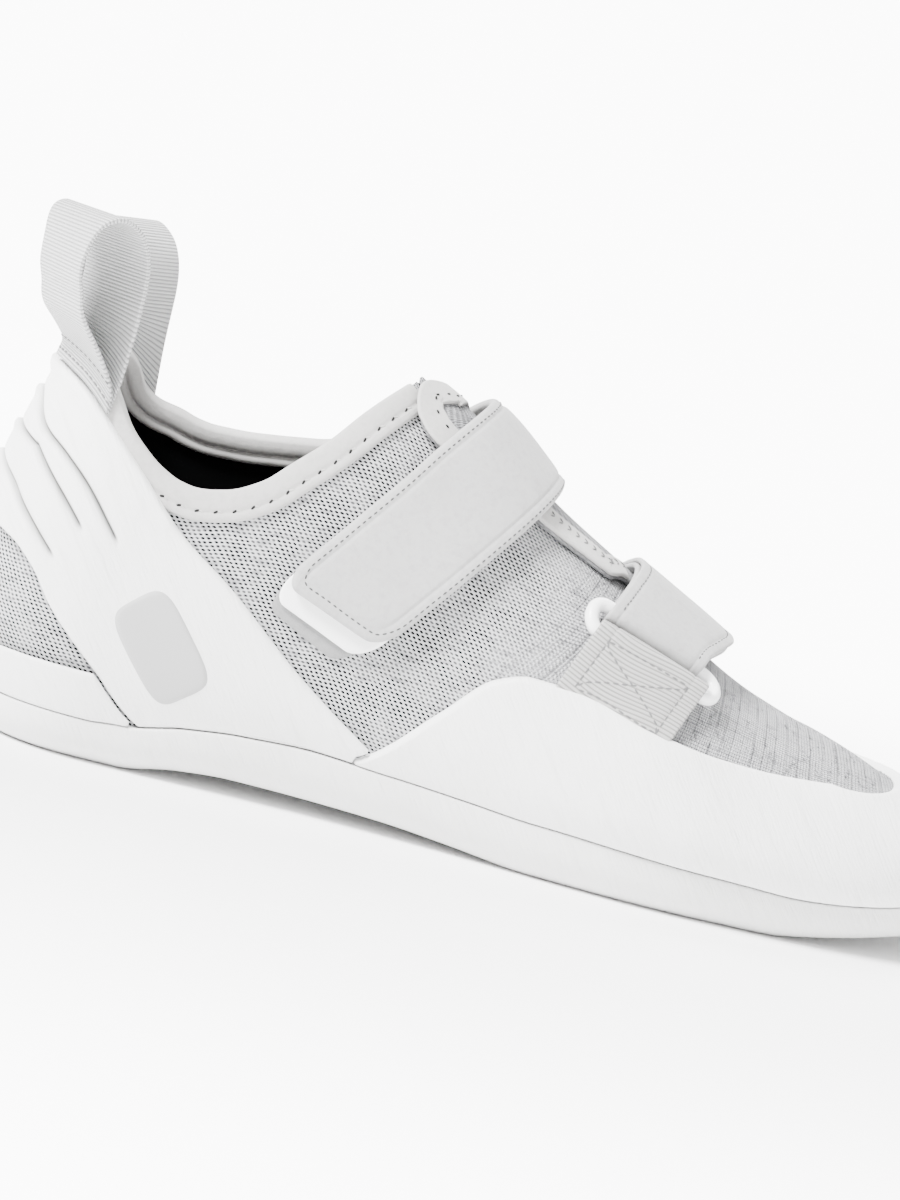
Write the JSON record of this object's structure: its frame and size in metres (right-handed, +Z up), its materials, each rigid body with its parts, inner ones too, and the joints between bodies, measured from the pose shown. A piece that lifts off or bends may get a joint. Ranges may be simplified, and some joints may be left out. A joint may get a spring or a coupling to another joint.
{
  "type": "climbing shoe",
  "caption": "Low climbing shoe with a knitted upper, moulded rubber sole, toe rand and heel sling, two closure straps over the instep and pull loops at the heel; right foot.",
  "frame": {"origin": "middle of the flat spot that the heel rests on, on the floor", "axes": "+X from heel to toe, +Y towards the inner side of the foot, +Z up"},
  "size_m": [0.2663, 0.0916, 0.1265],
  "materials": {
    "knit": "knitted, matt",
    "white_rubber": "smooth, satin",
    "suede": "napped microsuede",
    "footbed": "matt",
    "webbing": "ribbed weave",
    "white_plastic": "satin",
    "pile": "looped pile"
  },
  "bodies": {
    "root": {"sole": "white_rubber", "insole": "footbed", "upper": "knit", "tongue": "knit", "tongue_trim": "suede", "collar_binding": "suede", "toe_rand": "white_rubber", "heel_rand": "white_rubber", "heel_sling": "white_rubber", "pile_patch": "pile", "hook_tab": "white_plastic", "main_strap": "suede", "ring": "white_plastic", "lower_strap": "suede", "ring_webbing": "webbing", "pull_loop_outer": "webbing", "pull_loop_inner": "webbing"}
  },
  "joints": []
}
